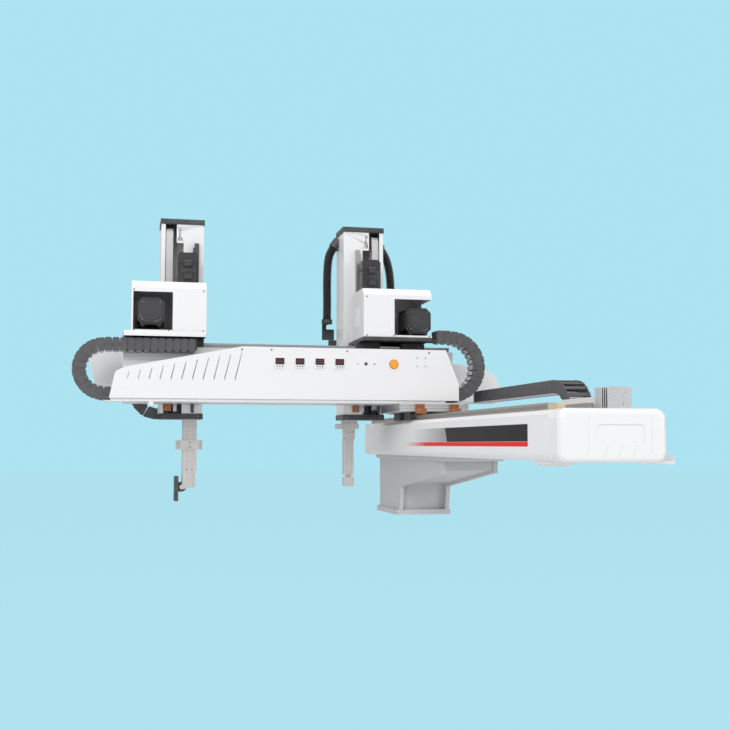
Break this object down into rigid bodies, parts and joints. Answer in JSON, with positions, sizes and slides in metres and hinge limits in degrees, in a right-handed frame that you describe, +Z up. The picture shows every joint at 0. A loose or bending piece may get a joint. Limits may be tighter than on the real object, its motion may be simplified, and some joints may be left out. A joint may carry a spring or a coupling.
{
  "type": "injection moulding manipulator",
  "caption": "Take-out robot for an injection moulding machine: cantilever traverse beam on a cast riser, crosswise beam, and two telescoping arms with energy chains.",
  "frame": {"origin": "centre of the riser's four anchor bolts, on the underside of its foot", "axes": "+Y along the traverse beam, away from its near end cover; +Z up; the crosswise beam reaches out along -X"},
  "size_m": [1.512, 1.956, 1.037],
  "materials": {
    "white_paint": "satin white powder coat",
    "white_casting": "light grey painted casting",
    "white_plastic": "gloss white moulding",
    "aluminium": "machined, clear anodised",
    "steel": "ground",
    "black_plastic": "moulded, matt black",
    "black_metal": "black paint and oxide",
    "belt_rubber": "toothed belt with pale backing",
    "orange_bumper": "polyurethane",
    "gauge_plastic": "black bezel, orange lamp"
  },
  "bodies": {
    "base": {"riser": "white_casting", "traverse_beam": "white_paint", "beam_side_covers": "white_paint", "near_end_cover": "white_plastic", "far_end_cap": "white_plastic", "traverse_rails": "steel", "traverse_rack": "steel", "rail_stops": "orange_bumper", "connector_bracket": "aluminium", "chain_tray": "white_paint", "traverse_chain_fixed": "black_plastic"},
    "traverse_bend": {"traverse_chain_bend": "black_plastic"},
    "carriage": {"carriage_plate": "aluminium", "traverse_guide_blocks": "black_metal", "carriage_bumpers": "orange_bumper", "traverse_motor": "black_metal", "crosswise_beam": "aluminium", "crosswise_rails": "steel", "crosswise_rack": "steel", "front_panel": "white_paint", "rear_panel": "white_paint", "chain_trough": "white_paint", "panel_instruments": "gauge_plastic", "main_chain_fixed": "black_plastic", "sub_chain_fixed": "black_plastic", "traverse_chain_moving": "black_plastic"},
    "traverse_gear": {"traverse_pinion": "steel"},
    "main_bend": {"main_chain_bend": "black_plastic"},
    "sub_bend": {"sub_chain_bend": "black_plastic"},
    "main_saddle": {"main_saddle": "black_metal", "main_housing": "white_paint", "main_crosswise_motor": "black_metal", "main_vertical_motor": "black_metal", "main_chain_moving": "black_plastic", "main_arm_chain": "black_plastic"},
    "sub_saddle": {"sub_saddle": "black_metal", "sub_housing": "white_paint", "sub_crosswise_motor": "black_metal", "sub_vertical_motor": "black_metal", "sub_chain_moving": "black_plastic", "left_conduit": "black_plastic", "right_conduit": "black_plastic"},
    "main_inner": {"main_inner_arm": "aluminium", "main_wrist_block": "aluminium"},
    "sub_inner": {"sub_inner_arm": "aluminium"},
    "tool": {"tool_plate": "black_metal"},
    "main_crosswise_gear": {"main_crosswise_pinion": "steel"},
    "main_vertical_gear": {"main_vertical_pinion": "steel"},
    "main_column": {"main_column": "white_paint", "main_column_ends": "black_metal", "main_column_guides": "steel", "main_belt": "belt_rubber"},
    "main_pulley": {"main_belt_pulley": "aluminium"},
    "sub_crosswise_gear": {"sub_crosswise_pinion": "steel"},
    "sub_vertical_gear": {"sub_vertical_pinion": "steel"},
    "sub_column": {"sub_column": "white_paint", "sub_column_ends": "black_metal", "sub_column_guides": "steel", "sub_belt": "belt_rubber"},
    "sub_pulley": {"sub_belt_pulley": "aluminium"}
  },
  "joints": [
    {"name": "traverse", "type": "slide", "parent": "base", "child": "carriage", "axis": [0, 1, 0], "range_m": [-0.84, 0.3], "deforming": ["traverse_chain_moving", "traverse_chain_fixed"]},
    {"name": "traverse_chain_bend", "type": "slide", "parent": "base", "child": "traverse_bend", "axis": [0, 1, 0], "range_m": [-0.42, 0.15]},
    {"name": "traverse_gear_spin", "type": "hinge", "parent": "carriage", "child": "traverse_gear", "pos_m": [0.039, -0.11, 0.344], "axis": [0, 0, 1], "range_deg": [-2007, 718]},
    {"name": "main_crosswise", "type": "slide", "parent": "carriage", "child": "main_saddle", "axis": [1, 0, 0], "range_m": [-0.015, 0.22], "deforming": ["main_chain_moving", "main_chain_fixed"]},
    {"name": "main_chain_bend", "type": "slide", "parent": "carriage", "child": "main_bend", "axis": [1, 0, 0], "range_m": [-0.0075, 0.11]},
    {"name": "main_crosswise_gear_spin", "type": "hinge", "parent": "main_saddle", "child": "main_crosswise_gear", "pos_m": [-0.986, -0.274, 0.6136], "axis": [0, 1, 0], "range_deg": [-37, 527]},
    {"name": "sub_crosswise", "type": "slide", "parent": "carriage", "child": "sub_saddle", "axis": [1, 0, 0], "range_m": [-0.16, 0], "deforming": ["sub_chain_moving", "sub_chain_fixed"]},
    {"name": "sub_chain_bend", "type": "slide", "parent": "carriage", "child": "sub_bend", "axis": [1, 0, 0], "range_m": [-0.08, 0]},
    {"name": "sub_crosswise_gear_spin", "type": "hinge", "parent": "sub_saddle", "child": "sub_crosswise_gear", "pos_m": [-0.09065, -0.274, 0.6136], "axis": [0, 1, 0], "range_deg": [-383, 0]},
    {"name": "main_vertical", "type": "slide", "parent": "main_saddle", "child": "main_column", "axis": [0, 0, -1], "range_m": [0, 0.26], "deforming": ["main_arm_chain"]},
    {"name": "main_telescope", "type": "slide", "parent": "main_column", "child": "main_inner", "axis": [0, 0, -1], "range_m": [0, 0.26]},
    {"name": "main_vertical_gear_spin", "type": "hinge", "parent": "main_saddle", "child": "main_vertical_gear", "pos_m": [-0.8616, -0.1794, 0.65], "axis": [0, 1, 0], "range_deg": [0, 622]},
    {"name": "main_pulley_spin", "type": "hinge", "parent": "main_column", "child": "main_pulley", "pos_m": [-0.92, -0.137, 0.983], "axis": [1, 0, 0], "range_deg": [-625, 0]},
    {"name": "sub_vertical", "type": "slide", "parent": "sub_saddle", "child": "sub_column", "axis": [0, 0, -1], "range_m": [0, 0.24], "deforming": ["left_conduit", "right_conduit"]},
    {"name": "sub_telescope", "type": "slide", "parent": "sub_column", "child": "sub_inner", "axis": [0, 0, -1], "range_m": [0, 0.24]},
    {"name": "sub_vertical_gear_spin", "type": "hinge", "parent": "sub_saddle", "child": "sub_vertical_gear", "pos_m": [-0.2189, -0.1794, 0.65], "axis": [0, 1, 0], "range_deg": [-574, 0]},
    {"name": "sub_pulley_spin", "type": "hinge", "parent": "sub_column", "child": "sub_pulley", "pos_m": [-0.1835, -0.137, 0.983], "axis": [1, 0, 0], "range_deg": [-577, 0]},
    {"name": "wrist_flip", "type": "hinge", "parent": "main_inner", "child": "tool", "pos_m": [-0.867, -0.126, 0.106], "axis": [0, 1, 0], "range_deg": [-90, 0]}
  ],
  "couplings": [
    {"joint": "traverse_chain_bend", "follows": "traverse", "ratio": 0.5},
    {"joint": "traverse_gear_spin", "follows": "traverse", "rad_per_m": 41.667},
    {"joint": "main_chain_bend", "follows": "main_crosswise", "ratio": 0.5},
    {"joint": "main_crosswise_gear_spin", "follows": "main_crosswise", "rad_per_m": 41.667},
    {"joint": "sub_chain_bend", "follows": "sub_crosswise", "ratio": 0.5},
    {"joint": "sub_crosswise_gear_spin", "follows": "sub_crosswise", "rad_per_m": 41.667},
    {"joint": "main_telescope", "follows": "main_vertical", "ratio": 1},
    {"joint": "main_vertical_gear_spin", "follows": "main_vertical", "rad_per_m": 41.667},
    {"joint": "main_pulley_spin", "follows": "main_vertical", "rad_per_m": -41.841},
    {"joint": "sub_telescope", "follows": "sub_vertical", "ratio": 1},
    {"joint": "sub_vertical_gear_spin", "follows": "sub_vertical", "rad_per_m": -41.667},
    {"joint": "sub_pulley_spin", "follows": "sub_vertical", "rad_per_m": -41.841}
  ]
}
